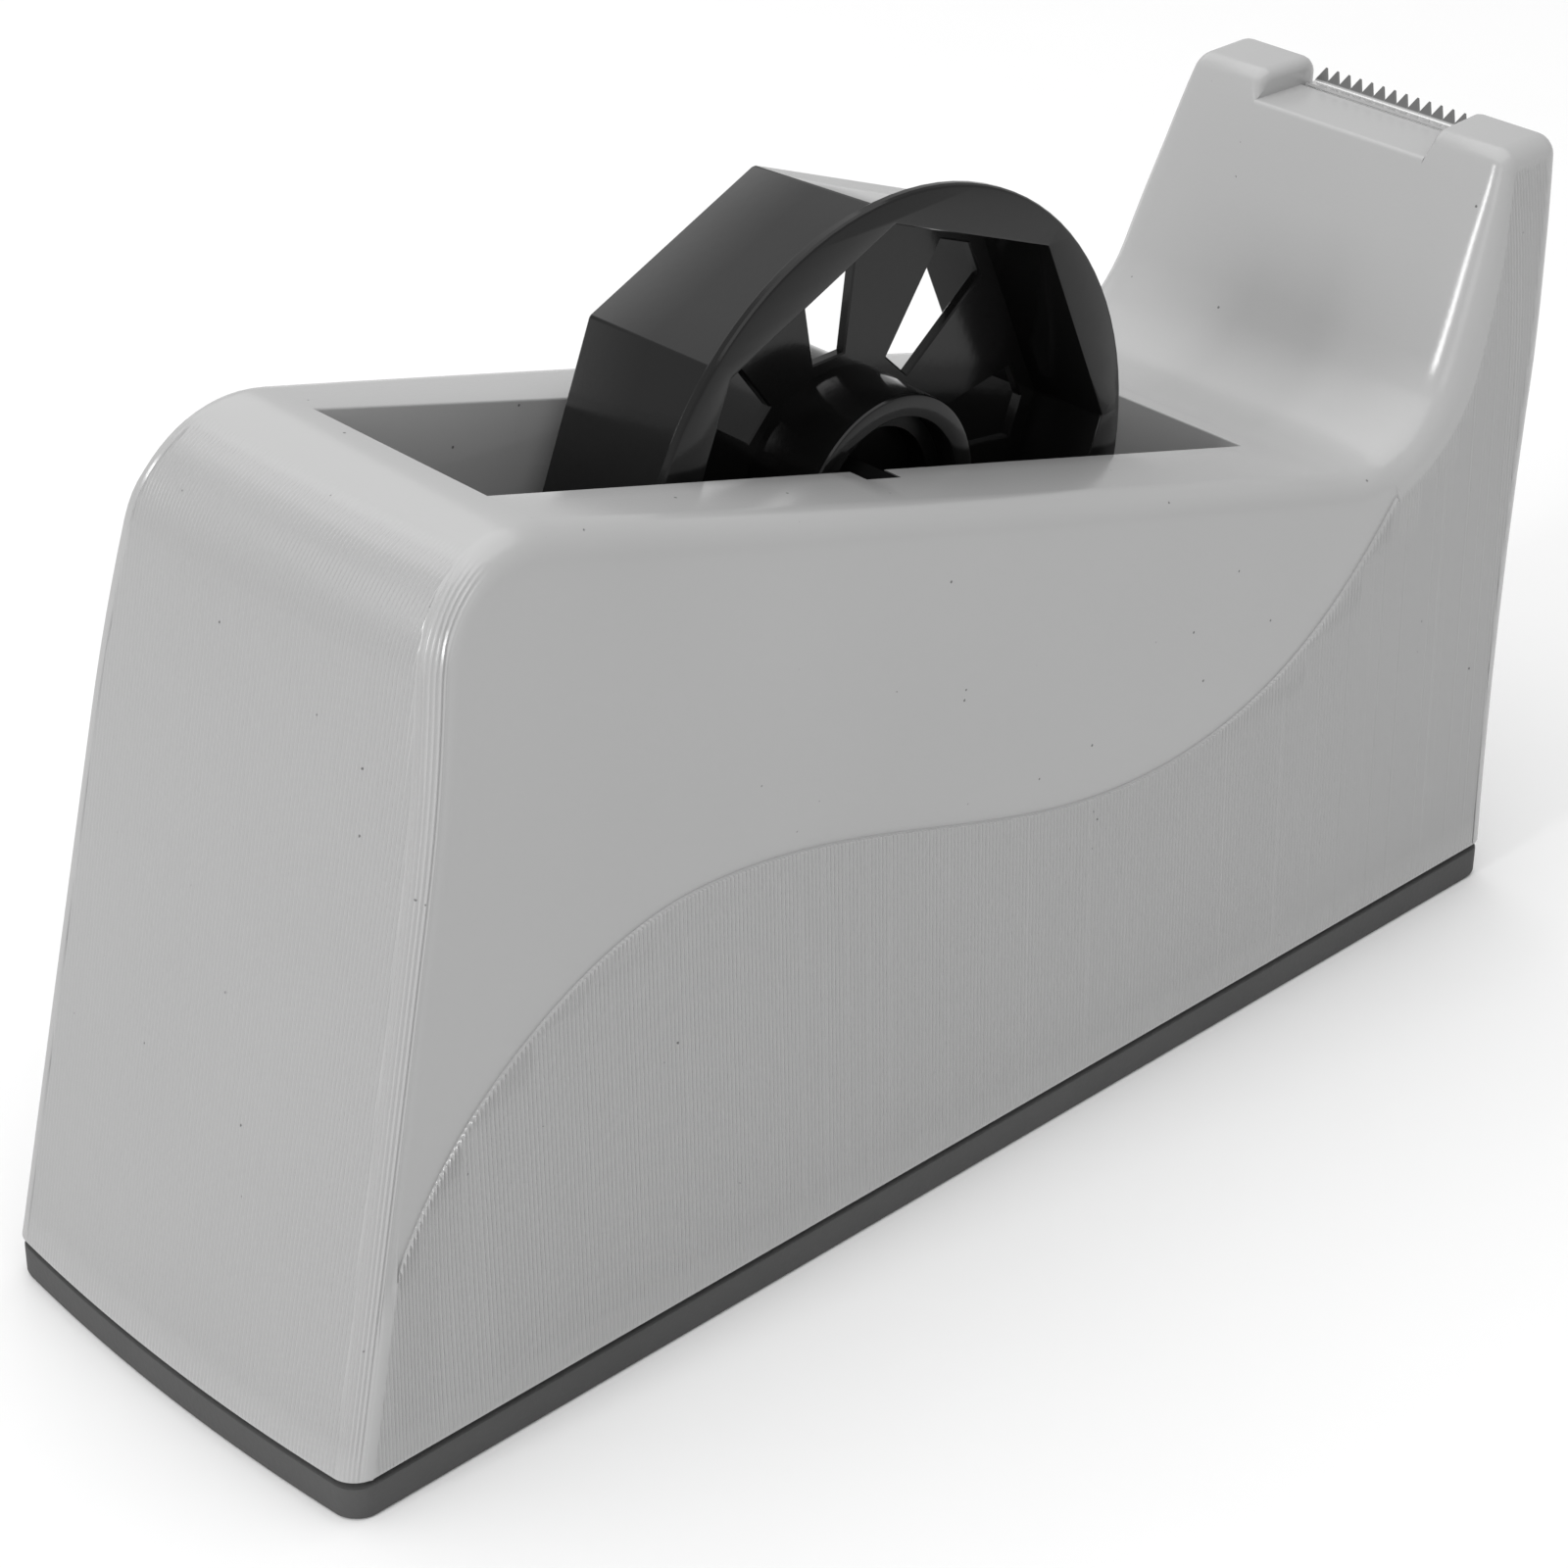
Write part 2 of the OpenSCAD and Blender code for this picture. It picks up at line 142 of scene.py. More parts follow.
class Mesh:
    """Points and faces in millimetres. Points that coincide are joined when the piece is made."""

    def __init__(self):
        self.points, self.faces = [], []

    def add(self, points):
        start = len(self.points)
        self.points.extend(tuple(map(float, p)) for p in points)
        return list(range(start, len(self.points)))

    def stitch(self, a, b, keys_a, keys_b):
        """Faces between two chains of points whose keys rise."""
        i = j = 0
        while i < len(a) - 1 or j < len(b) - 1:
            next_a = keys_a[i + 1] if i < len(a) - 1 else math.inf
            next_b = keys_b[j + 1] if j < len(b) - 1 else math.inf
            if abs(next_a - next_b) < 1e-6:
                self.faces.append((a[i], a[i + 1], b[j + 1], b[j]))
                i, j = i + 1, j + 1
            elif next_a < next_b:
                self.faces.append((a[i], a[i + 1], b[j]))
                i += 1
            else:
                self.faces.append((a[i], b[j + 1], b[j]))
                j += 1

    def loft(self, rows, closed=False):
        """Faces between rows of equal length, each row closed on itself if asked."""
        ids = [self.add(r) for r in rows]
        for a, b in zip(ids, ids[1:]):
            n = len(a)
            for i in range(n if closed else n - 1):
                k = (i + 1) % n
                self.faces.append((a[i], a[k], b[k], b[i]))
        return ids

    def fill(self, loops):
        """Flat face bounded by the first loop, with the other loops as holes."""
        ids = [i for loop in loops for i in self.add(loop)]
        for t in tessellate_polygon([[Vector(p) for p in loop] for loop in loops]):
            self.faces.append(tuple(ids[i] for i in t))

    def piece(self, name, body, material, nodes=(), sharp=40, close_floor=None):
        bm = bmesh.new()
        verts = [bm.verts.new(p) for p in self.points]
        for f in self.faces:
            if len(set(f)) == len(f):
                try:
                    bm.faces.new([verts[i] for i in f])
                except ValueError:
                    pass
        bmesh.ops.remove_doubles(bm, verts=bm.verts, dist=0.004)
        bmesh.ops.dissolve_degenerate(bm, edges=bm.edges, dist=0.002)
        if close_floor:
            close_floor(bm)
        bmesh.ops.recalc_face_normals(bm, faces=bm.faces)
        bmesh.ops.scale(bm, vec=(MM, MM, MM), verts=bm.verts)
        data = bpy.data.meshes.new(name)
        bm.to_mesh(data)
        bm.free()
        data.shade_smooth()
        data.set_sharp_from_angle(angle=math.radians(sharp))
        data.materials.append(material)
        obj = bpy.data.objects.new(name, data)
        bpy.context.scene.collection.objects.link(obj)
        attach(obj, body)
        if nodes:
            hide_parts(*nodes)
        return obj


def straight(a, b, gap):
    """Points from a to b, without a, no further apart than the gap."""
    n = max(1, math.ceil(np.linalg.norm(b - a) / gap))
    return [a + (b - a) * i / n for i in range(1, n + 1)]


def rounded_path(corners, radii, gap=4.0, turn=6.0):
    """Open path through the corners: each is rounded by its radius, or sharp for zero."""
    corners = [np.array(c, float) for c in corners]
    path = [corners[0]]
    for a, b, c, r in zip(corners, corners[1:], corners[2:], radii[1:]):
        if r == 0:
            path += straight(path[-1], b, gap)
            continue
        u, v = unit(a - b), unit(c - b)
        half = math.acos(np.clip(u @ v, -1, 1)) / 2
        centre = b + unit(u + v) * r / math.sin(half)
        start, stop = b + u * r / math.tan(half), b + v * r / math.tan(half)
        side = 1 if np.cross(start - centre, stop - centre) > 0 else -1
        sweep = math.pi - 2 * half
        first = math.atan2(*(start - centre)[::-1])
        n = math.ceil(math.degrees(sweep) / turn)
        path += straight(path[-1], start, gap)
        path += [
            centre + r * np.array([math.cos(t), math.sin(t)])
            for t in (first + side * sweep * i / n for i in range(1, n + 1))
        ]
    path += straight(path[-1], corners[-1], gap)
    return np.array(path)


# --- shell outline in side view -------------------------------------------------------------

def up(lean):
    return np.array([math.sin(lean), math.cos(lean)])


along_rim = np.array([math.cos(RIM_SLOPE), -math.sin(RIM_SLOPE)])
tail_foot = np.array([tail_x(SHELL_Z), SHELL_Z])
rim_mid = np.array([0, RIM_H])
nose_at_bed = np.array([NOSE_X, BED_H])
crest = meet(tail_foot, up(TAIL_LEAN), rim_mid, along_rim)
hollow = meet(rim_mid, along_rim, nose_at_bed, up(NOSE_LEAN))
brow = nose_at_bed + up(NOSE_LEAN) * (POST_H - BED_H) / math.cos(NOSE_LEAN)
split_low = nose_at_bed - up(NOSE_LEAN) * 0.85
split_front = np.array([front_x(97.0), 97.0])
lip = np.array([front_x(POST_H), POST_H])

slot_up = np.array([-math.sin(SLOT_LEAN), math.cos(SLOT_LEAN)])
slot_across = np.array([math.cos(SLOT_LEAN), math.sin(SLOT_LEAN)])
mouth = [meet(AXIS + slot_across * s * SLOT_W / 2, slot_up, rim_mid, along_rim) for s in (-1, 1)]
well_ends = [np.array([x, rim_z(x)]) for x in (-WELL_HALF_L - WELL_EDGE, WELL_HALF_L + WELL_EDGE)]
front_run = [np.array([front_x(z), z]) for z in (90, 80, 70, 60, 50, 40, 30, 20, 12, SHELL_Z)]

post_path = rounded_path(
    [tail_foot, tail_foot + up(TAIL_LEAN) * FOOT_LIP, crest, well_ends[0], *mouth, well_ends[1], hollow,
     split_low, brow, lip, split_front, *front_run],
    [0, 0, 15.5, 0, 0, 0, 0, 17, 0, 3, 2.5, 0] + [0] * len(front_run),
)
bed_path = rounded_path(
    [split_low, nose_at_bed, (105.12, BED_H), (104.67, 100.6), (105.5, 100.6), (105.95, BED_H),
     (BED_END, BED_H), (BED_END, 97.0), split_front],
    [0, 0.8, 0, 0, 0, 0, 0.4, 0, 0],
)


def path_index(path, point):
    return int(np.argmin(np.linalg.norm(path - point, axis=1)))


def inward(path):
    """Unit vectors at the path's points that look into the body."""
    seg = np.diff(path, axis=0)
    seg = seg / np.linalg.norm(seg, axis=1)[:, None]
    tangent = np.vstack([seg[:1], seg[:-1] + seg[1:], seg[-1:]])
    tangent = tangent / np.linalg.norm(tangent, axis=1)[:, None]
    return np.column_stack([tangent[:, 1], -tangent[:, 0]])


normal = inward(post_path)
normal[0] = (1 / math.cos(TAIL_LEAN), 0)
normal[-1] = (-1, 0)
run = np.concatenate([[0], np.cumsum(np.linalg.norm(np.diff(post_path, axis=0), axis=1))])
tip = int(np.argmax(post_path[:, 0]))
# Radius of the edge between the outline and the flanks
edge_r = np.where(
    np.arange(len(post_path)) <= tip,
    np.interp(post_path[:, 0], [-102, -85, -62, 62, 86, 92, 96.5, 110], [3, 3.2, 3.8, 4.6, 4.8, 4, 2.3, 2.2]),
    np.interp(post_path[:, 1], [88, 103], [3, 2.2]),
)
rim_start, rim_stop = (path_index(post_path, p) for p in well_ends)
notch = [path_index(post_path, p) for p in mouth]
split = [path_index(post_path, p) for p in (split_low, split_front)]


def panel(x, z):
    """How much of the panel's step applies at a point of the flank: none on the ribs, all above the wave."""
    tail_side = PANEL_TAIL[0] + (z - PANEL_TAIL[1]) * math.tan(TAIL_LEAN)
    return smooth((z - wave_z(x)) / STEP_RUN) * smooth((x - tail_side) / PANEL_TAIL_RUN)


shell = Mesh()


def edge_point(k, phi, side, depth=0.0):
    """Point of the rounded edge at station k: phi 0 meets the outline's face, 90 degrees the flank."""
    c, s, r = math.cos(phi), math.sin(phi), edge_r[k]
    p = post_path[k] + normal[k] * (r * (1 - c) + depth * c)
    step = PANEL_STEP * s * s * panel(p[0], p[1])
    return p[0], side * (half_width(p[1]) - r * (1 - s) - depth * s - step), p[1]


def ribbed(k):
    """Whether station k has the fine spacing of points that ribs need."""
    return k < rim_start and post_path[k, 0] < RIB_END_X + 2


def rib_fade(k):
    """How high the ribs stand at station k: not at all at the foot, and less and less where they end."""
    return 0.0 if k == 0 else float(np.clip((RIB_END_X - post_path[k, 0]) / RIB_END_RUN, 0, 1))


def edge_chain(k, side):
    """The rounded edge at station k, from beside the flank to the outline's face."""
    n = TAIL_ARC_STEPS if ribbed(k) else ARC_STEPS
    turns = [math.pi / 2 * (1 - i / n) for i in range(1, n + 1)]
    points = []
    for phi in turns:
        depth = 0.0
        if ribbed(k):
            wrap = float(smooth((CORNER_LIMIT - phi) / CORNER_RUN))
            depth = rib_depth(phi / (math.pi / 2) * CORNER_RIBS * PITCH, CORNER_RIB) * rib_fade(k) * wrap
        points.append(edge_point(k, phi, side, depth))
    ids = shell.add(points)
    return ids, [side * (40 + math.degrees(phi) / 10) for phi in turns]


near_edge = [edge_chain(k, -1) for k in range(len(post_path))]
far_edge = [edge_chain(k, 1) for k in range(len(post_path))]
SIDES = ((-1, near_edge), (1, far_edge))


def face_points(k, ys):
    """Points across the outline's face at station k, ribbed on the tail."""
    points = []
    for y in ys:
        depth = rib_depth(y, TAIL_RIB) * rib_fade(k) if ribbed(k) else 0.0
        p = post_path[k] + normal[k] * depth
        points.append((p[0], y, p[1]))
    return shell.add(points), list(ys)


def full_chain(k, ys):
    """Station k from the near flank to the far one."""
    ids, keys = face_points(k, ys)
    return (
        near_edge[k][0] + ids + far_edge[k][0][::-1],
        near_edge[k][1] + keys + far_edge[k][1][::-1],
    )


def across(k):
    """Where the outline's face has points at station k, from the near side to the far side."""
    if ribbed(k):
        reach = half_width(post_path[k, 1]) - edge_r[k] - 0.04
        n = int(reach / TAIL_STEP)
        return [i * TAIL_STEP for i in range(-n, n + 1)]
    if k in split:
        gap = float(recess_half(post_path[k, 0]))
        return [-gap, 0, gap]
    return [-SLOT_BACK, -WELL_MOUTH, -7, 0, 7, WELL_MOUTH, SLOT_BACK]


def run_strip(chains):
    """Faces between stations that follow each other."""
    for (a, keys_a), (b, keys_b) in zip(chains, chains[1:]):
        shell.stitch(a, b, keys_a, keys_b)


run_strip([full_chain(k, across(k)) for k in range(0, rim_start + 1)])
run_strip([full_chain(k, across(k)) for k in range(rim_stop, split[0] + 1)])
run_strip([full_chain(k, across(k)) for k in range(split[1], len(post_path))])

# The rim beside the well, with the two notches of the spindle's slots
for side, edge in SIDES:
    for first, last, ends in (
        (rim_start, notch[0], (SLOT_BACK, WELL_MOUTH)),
        (notch[0], notch[1], (SLOT_BACK,)),
        (notch[1], rim_stop, (SLOT_BACK, WELL_MOUTH)),
    ):
        chains = []
        for k in range(first, last + 1):
            ids, keys = face_points(k, [side * y for y in ends])
            chains.append((edge[k][0] + ids, [-abs(q) for q in edge[k][1] + keys]))
        run_strip(chains)


# --- flanks ---------------------------------------------------------------------------------

# Rows of points in a column of the flank: their room from its ends and from the panel's edge, how far from
# the outline the ribs fade out, and how close to the ends the panel's edge may come
ROW_ROOM, PANEL_ROOM, FLANK_FADE, PANEL_MARGIN = 1.8, 0.8, 1.2, 0.4
ROW_HEIGHTS = [*range(10, 72, 8), *range(72, 106, 4)]


def flank(side, edge):
    """One side of the shell, in columns of points that follow the ribs and the panel's step."""
    q = post_path + normal * edge_r[:, None]
    peak = int(np.argmax(q[:, 0]))
    top, front = q[: peak + 1], q[peak:][::-1]
    top_run, front_run_s = run[: peak + 1], run[peak:][::-1]
    stations = np.unique(np.round(np.concatenate([top[:, 0], front[:, 0]]), 5))
    grid = np.arange(math.ceil(q[0, 0] / STEP), math.floor(q[peak, 0] / STEP) + 1) * STEP
    near = np.abs(grid[:, None] - stations[None]).min(axis=1)
    xs = np.sort(np.concatenate([grid[near > 0.02], stations]))
    chains, upper, lower = [], [], []
    for x in xs:
        hi = float(np.interp(x, top[:, 0], top[:, 1]))
        on_front = x > front[0, 0] + 1e-6
        lo = float(np.interp(x, front[:, 0], front[:, 1])) if on_front else SHELL_Z
        edge_of_panel = float(wave_z(x))
        crossed = lo + PANEL_MARGIN < edge_of_panel < hi - PANEL_MARGIN
        rows = {lo: 0.0, hi: 0.0}
        if hi - lo > 2 * FLANK_FADE + 0.2:
            rows[hi - FLANK_FADE] = 1.0
            rows[lo + (FLANK_FADE if on_front else FOOT_LIP)] = 1.0
            for z in ROW_HEIGHTS:
                at_panel = crossed and abs(z - edge_of_panel) < PANEL_ROOM
                if lo + ROW_ROOM < z < hi - ROW_ROOM and not at_panel:
                    rows[float(z)] = 1.0
        if crossed:
            rows[edge_of_panel - 0.02] = 1.0
            rows[edge_of_panel + STEP_RUN] = 0.0
        zs = sorted(rows)
        points, keys = [], []
        for z in zs:
            smooth_part = crossed and z > edge_of_panel
            depth = rib_depth(x, RIB) * (0.0 if smooth_part else rows[z])
            if smooth_part or not crossed:
                depth += PANEL_STEP * float(panel(x, z))
            points.append((x, side * (half_width(z) - depth), z))
            if crossed:
                keys.append((z - lo) / (edge_of_panel - lo) if z < edge_of_panel
                            else 2 + (z - edge_of_panel) / (hi - edge_of_panel))
            else:
                keys.append(z)
        ids = shell.add(points)
        chains.append((ids, keys, crossed))
        upper.append((ids[-1], float(np.interp(x, top[:, 0], top_run))))
        if (on_front and x < q[peak, 0] - 1e-6) or abs(x - front[0, 0]) < 1e-6:
            lower.append((ids[0], float(np.interp(x, front[:, 0], front_run_s))))
    for (a, keys_a, crossed_a), (b, keys_b, crossed_b) in zip(chains, chains[1:]):
        if crossed_a != crossed_b:
            keys_a = [shell.points[i][2] for i in a]
            keys_b = [shell.points[i][2] for i in b]
        shell.stitch(a, b, keys_a, keys_b)
    rim = upper + lower[::-1]
    outer = [chain[0][0] for chain in edge]
    shell.stitch([i for i, _ in rim], outer, [s for _, s in rim], list(run))


for side, edge in SIDES:
    flank(side, edge)

# --- posts, tape bed and well ---------------------------------------------------------------

# Radius of the posts' inner edges, and the lengths over which it grows from nothing at their two ends
POST_EDGE, POST_EDGE_LOW, POST_EDGE_FRONT = 1.6, 3, 5


def post_edge(k):
    from_low, from_front = run[k] - run[split[0]], run[split[1]] - run[k]
    return POST_EDGE * float(min(1, from_low / POST_EDGE_LOW, from_front / POST_EDGE_FRONT))


for side, edge in SIDES:
    chains, wall = [], []
    for k in range(split[0], split[1] + 1):
        r = post_edge(k)
        points, keys = [], []
        turns = [0.0] if r < 1e-6 else [math.pi / 2 * i / 4 for i in range(5)]
        for phi in turns:
            p = post_path[k] + normal[k] * r * (1 - math.cos(phi))
            y = recess_half(p[0]) + r * (1 - math.sin(phi))
            points.append((p[0], side * y, p[1]))
            keys.append(-30 + phi)
        ids = shell.add(points)
        chains.append((edge[k][0] + ids, [-abs(q) for q in edge[k][1]] + keys))
        wall.append(points[-1])
    run_strip(chains)
    bed_side = [(p[0], side * recess_half(p[0]), p[1]) for p in bed_path]
    shell.fill([wall + bed_side[::-1][1:-1]])
shell.loft([[(p[0], t * recess_half(p[0]), p[1]) for t in (-1, 0, 1)] for p in bed_path])

# Rounded edge round the well's mouth, then its walls and floor
EDGE_TURNS = [math.pi / 2 * i / 3 for i in range(4)]
EDGE_ROUND = [(WELL_EDGE * (1 - math.sin(phi)), WELL_EDGE * (1 - math.cos(phi))) for phi in EDGE_TURNS]
# Shift along the rim of a slot's wall for each millimetre below the rim
SLOT_SHIFT = math.tan(SLOT_LEAN) / (1 - math.tan(RIM_SLOPE) * math.tan(SLOT_LEAN))
rim_runs = [range(rim_start, notch[0] + 1), range(notch[1], rim_stop + 1)]


def rim_side(stretch, end, grow, drop):
    """Points (x, z) beside the well at a drop below the rim; the end at a slot follows the slot's wall."""
    xs = np.clip(post_path[stretch, 0], -WELL_HALF_L - grow, WELL_HALF_L + grow)
    xs[end] += SLOT_SHIFT * drop
    return [(x, rim_z(x) - drop) for x in xs]


for side in (-1, 1):
    for stretch, end in zip(rim_runs, (-1, 0)):
        shell.loft([
            [(x, side * (WELL_HALF_W + grow), z) for x, z in rim_side(stretch, end, grow, drop)]
            for grow, drop in EDGE_ROUND
        ])
for end in (-1, 1):
    rows = []
    for grow, drop in EDGE_ROUND:
        x = end * (WELL_HALF_L + grow)
        half = WELL_HALF_W + grow
        rows.append([(x, y, rim_z(x) - drop) for y in (-half, -7, 0, 7, half)])
    shell.loft(rows)

well_path = rounded_path(
    [(-WELL_HALF_L, rim_z(-WELL_HALF_L) - WELL_EDGE), (-WELL_HALF_L, WELL_FLOOR), (WELL_HALF_L, WELL_FLOOR),
     (WELL_HALF_L, rim_z(WELL_HALF_L) - WELL_EDGE)],
    [0, WELL_R, WELL_R, 0], gap=12, turn=5,
)
shell.loft([[(p[0], y, p[1]) for y in (-WELL_HALF_W, -7, 0, 7, WELL_HALF_W)] for p in well_path])

foot = AXIS - slot_up * SLOT_FOOT
turns = [math.pi * i / 10 for i in range(11)]
foot_arc = [foot - SLOT_W / 2 * (slot_across * math.cos(t) + slot_up * math.sin(t)) for t in turns]
slot_back = [*foot_arc, *post_path[notch[0] : notch[1] + 1][::-1]]
left, right = (rim_side(stretch, end, 0, WELL_EDGE) for stretch, end in zip(rim_runs, (-1, 0)))
for side in (-1, 1):
    shell.loft([[(p[0], side * y, p[1]) for p in foot_arc] for y in (WELL_HALF_W, SLOT_BACK)])
    shell.fill([[(p[0], side * SLOT_BACK, p[1]) for p in slot_back]])
    for top, low in ((mouth[0], foot_arc[0]), (mouth[1], foot_arc[-1])):
        wall = [(low[0], side * WELL_HALF_W, low[1]), (low[0], side * SLOT_BACK, low[1]),
                (top[0], side * SLOT_BACK, top[1])]
        for grow, drop in EDGE_ROUND:
            x = top[0] + SLOT_SHIFT * drop
            wall.append((x, side * (WELL_HALF_W + grow), rim_z(x) - drop))
        shell.fill([wall])
    loop = left + [tuple(p) for p in foot_arc] + right + [tuple(p) for p in well_path[::-1][1:-1]]
    shell.fill([[(x, side * WELL_HALF_W, z) for x, z in loop]])


# How far forward of the tail face its bulge is felt
BULGE_RUN = 14


def bow(points):
    """The tail face stands out in the middle, which shifts its corners forward."""
    p = np.array(points)
    ahead = p[:, 0] - tail_x(p[:, 2])
    across_share = np.minimum(1, np.abs(p[:, 1]) / (BASE_W / 2))
    p[:, 0] += TAIL_BULGE * across_share**2 * (1 - smooth(ahead / BULGE_RUN))
    return [tuple(q) for q in p]


# Width of the shell's foot rim, the step up from it to the roof, and about half the shell's length
FOOT_RIM, ROOF_STEP, HALF_L = 2.2, 3.0, BASE_W * 1.55


def close_shell_floor(bm):
    """A foot rim round the underside, and a roof over the base plate."""
    loop = [e for e in bm.edges if e.is_boundary and max(v.co.z for v in e.verts) < SHELL_Z + 0.01]
    for inset, rise in ((FOOT_RIM, 0.0), (0.0, ROOF_STEP)):
        new = bmesh.ops.extrude_edge_only(bm, edges=loop)["geom"]
        loop = [g for g in new if isinstance(g, bmesh.types.BMEdge) and g.is_boundary]
        for v in {v for e in loop for v in e.verts}:
            v.co.x *= 1 - inset / HALF_L
            v.co.y *= 1 - inset / (BASE_W / 2)
            v.co.z += rise
    bmesh.ops.edgeloop_fill(bm, edges=loop)


# --- materials ------------------------------------------------------------------------------


class Nodes:
    def __init__(self, name):
        self.material = bpy.data.materials.new(name)
        self.material.use_nodes = True
        self.tree = self.material.node_tree
        self.shader = self.tree.nodes["Principled BSDF"]
        self.at = self.new("ShaderNodeTexCoord").outputs["Object"]

    def new(self, kind, **values):
        node = self.tree.nodes.new(kind)
        for key, value in values.items():
            if key in node.inputs:
                node.inputs[key].default_value = value
            else:
                setattr(node, key, value)
        return node

    def link(self, a, b):
        self.tree.links.new(a, b)

    def noise(self, scale, detail=3.0, stretch=(1, 1, 1)):
        mapping = self.new("ShaderNodeMapping", Scale=stretch)
        self.link(self.at, mapping.inputs["Vector"])
        node = self.new("ShaderNodeTexNoise", Scale=scale, Detail=detail)
        self.link(mapping.outputs["Vector"], node.inputs["Vector"])
        return node.outputs["Fac"]

    def span(self, value, low, high, start=0.0, stop=1.0):
        """The value mapped from start..stop to low..high."""
        limits = {"From Min": start, "From Max": stop, "To Min": low, "To Max": high}
        node = self.new("ShaderNodeMapRange", **limits)
        self.link(value, node.inputs["Value"])
        return node.outputs["Result"]

    def ramp(self, value, low, high, start=0.35, stop=0.65):
        node = self.new("ShaderNodeValToRGB")
        node.color_ramp.elements[0].position, node.color_ramp.elements[1].position = start, stop
        node.color_ramp.elements[0].color, node.color_ramp.elements[1].color = low, high
        self.link(value, node.inputs["Fac"])
        return node.outputs["Color"]

    def mix(self, amount, a, b):
        node = self.new("ShaderNodeMix", data_type="RGBA")
        self.link(amount, node.inputs[0])
        self.link(a, node.inputs[6])
        self.link(b, node.inputs[7])
        return node.outputs[2]

    def bump(self, value, strength, distance):
        node = self.new("ShaderNodeBump", Strength=strength, Distance=distance)
        self.link(value, node.inputs["Height"])
        self.link(node.outputs["Normal"], self.shader.inputs["Normal"])


def grey(level, alpha=1.0):
    return (level, level, level, alpha)


def surface(name, tone, spread, rough, grain, bump, metallic=0.0, specks=0.0, stretch=(1, 1, 1), gloss=0.5,
            painted_shade_above=None):
    """Finish with its tone varied in broad patches, grain in roughness and relief, and sparse dark specks.

    Above the height in the last argument, in metres, the tone drops to a third: painted shade, standing in
    for the darker look that the light gives the blade's teeth.
    """
    n = Nodes(name)
    colour = n.span(n.noise(22, 2), tone * (1 - spread), tone * (1 + spread))
    if specks:
        spots = n.new("ShaderNodeTexVoronoi", Scale=specks)
        n.link(n.at, spots.inputs["Vector"])
        sparse = n.ramp(n.noise(190, 0), grey(0), grey(1), 0.69, 0.71)
        near = n.ramp(spots.outputs["Distance"], grey(1), grey(0), 0.06, 0.09)
        amount = n.new("ShaderNodeMath", operation="MULTIPLY")
        n.link(sparse, amount.inputs[0])
        n.link(near, amount.inputs[1])
        dark = n.new("ShaderNodeRGB")
        dark.outputs[0].default_value = grey(tone * 0.3)
        colour = n.mix(amount.outputs[0], colour, dark.outputs[0])
    # Painted shade: the colour drops to a third above the given height
    if painted_shade_above:
        parts = n.new("ShaderNodeSeparateXYZ")
        n.link(n.at, parts.inputs[0])
        shade = n.span(parts.outputs["Z"], 1, 0.3, painted_shade_above, painted_shade_above + 0.0002)
        toned = n.new("ShaderNodeMath", operation="MULTIPLY")
        n.link(colour, toned.inputs[0])
        n.link(shade, toned.inputs[1])
        colour = toned.outputs[0]
    n.link(colour, n.shader.inputs["Base Color"])
    rub = n.span(n.noise(60, 3, stretch), rough * 0.8, min(1, rough * 1.2))
    n.link(rub, n.shader.inputs["Roughness"])
    n.shader.inputs["Metallic"].default_value = metallic
    n.shader.inputs["Specular IOR Level"].default_value = gloss
    n.bump(n.noise(grain, 3, stretch), bump, 0.0002)
    return n.material


# Height at which the blade's teeth start, in metres; above it the blade's steel is painted darker, as painted
# shade on the teeth
TEETH_Z = 0.1026
shell_plastic = surface("shell_plastic", 0.395, 0.04, 0.22, 1800, 0.06, specks=420, gloss=0.65)
drum_plastic = surface("black_plastic", 0.006, 0.4, 0.14, 900, 0.05, gloss=0.3)
spindle_plastic = surface("spindle_plastic", 0.005, 0.4, 0.3, 900, 0.06, gloss=0.2)
pad_rubber = surface("pad_rubber", 0.075, 0.2, 0.75, 1400, 0.5, gloss=0.3)
# The blade's steel carries painted shade on its teeth, above TEETH_Z
blade_steel = surface(
    "blade_steel", 0.85, 0.04, 0.22, 700, 0.10, metallic=1.0, stretch=(1, 8, 1), painted_shade_above=TEETH_Z
)
plate_steel = surface("plate_steel", 0.35, 0.15, 0.42, 300, 0.3, metallic=1.0)
screw_steel = surface("screw_steel", 0.55, 0.08, 0.32, 600, 0.2, metallic=1.0)
ballast_iron = surface("ballast_iron", 0.12, 0.25, 0.7, 350, 0.8, metallic=0.6)

for node, material in {
    "base_plate": plate_steel, "base_screws": screw_steel, "tail_ballast": ballast_iron,
    "nose_ballast": ballast_iron, "ballast_bolts": screw_steel, "blade": blade_steel,
    "blade_clamp": plate_steel, "blade_screws": screw_steel, "spindle": spindle_plastic,
}.items():
    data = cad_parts[node].data
    data.materials.clear()
    data.materials.append(material)

shell.points = bow(shell.points)
shell.piece("shell_body", "base", shell_plastic, ["shell"], 60, close_shell_floor)

# --- base pad -------------------------------------------------------------------------------

PAD_T = 4.9
PAD_R = 3.0


def pad_outline(t):
    """Plan of the pad moved inwards by t: bowed at the tail, straight at the front, rounded corners."""
    w, x0, x1 = BASE_W / 2 - t, TAIL_X - TAIL_BULGE + t, FRONT_X - t
    r = PAD_R
    quarter = [math.pi / 2 * i / 8 for i in range(9)]
    half = [(x1, 0.0)]
    half += [(x1 - r + r * math.cos(a), w - r + r * math.sin(a)) for a in quarter]
    half += [(x, w) for x in np.linspace(x1 - r, x0 + r, 30)[1:-1]]
    half += [(x0 + r - r * math.sin(a), w - r + r * math.cos(a)) for a in quarter]
    half += [(x0, y) for y in np.linspace(w - r, 0, 12)[1:]]
    loop = half + [(x, -y) for x, y in half[::-1][1:-1]]
    return bow([(x, y, SHELL_Z) for x, y in loop])


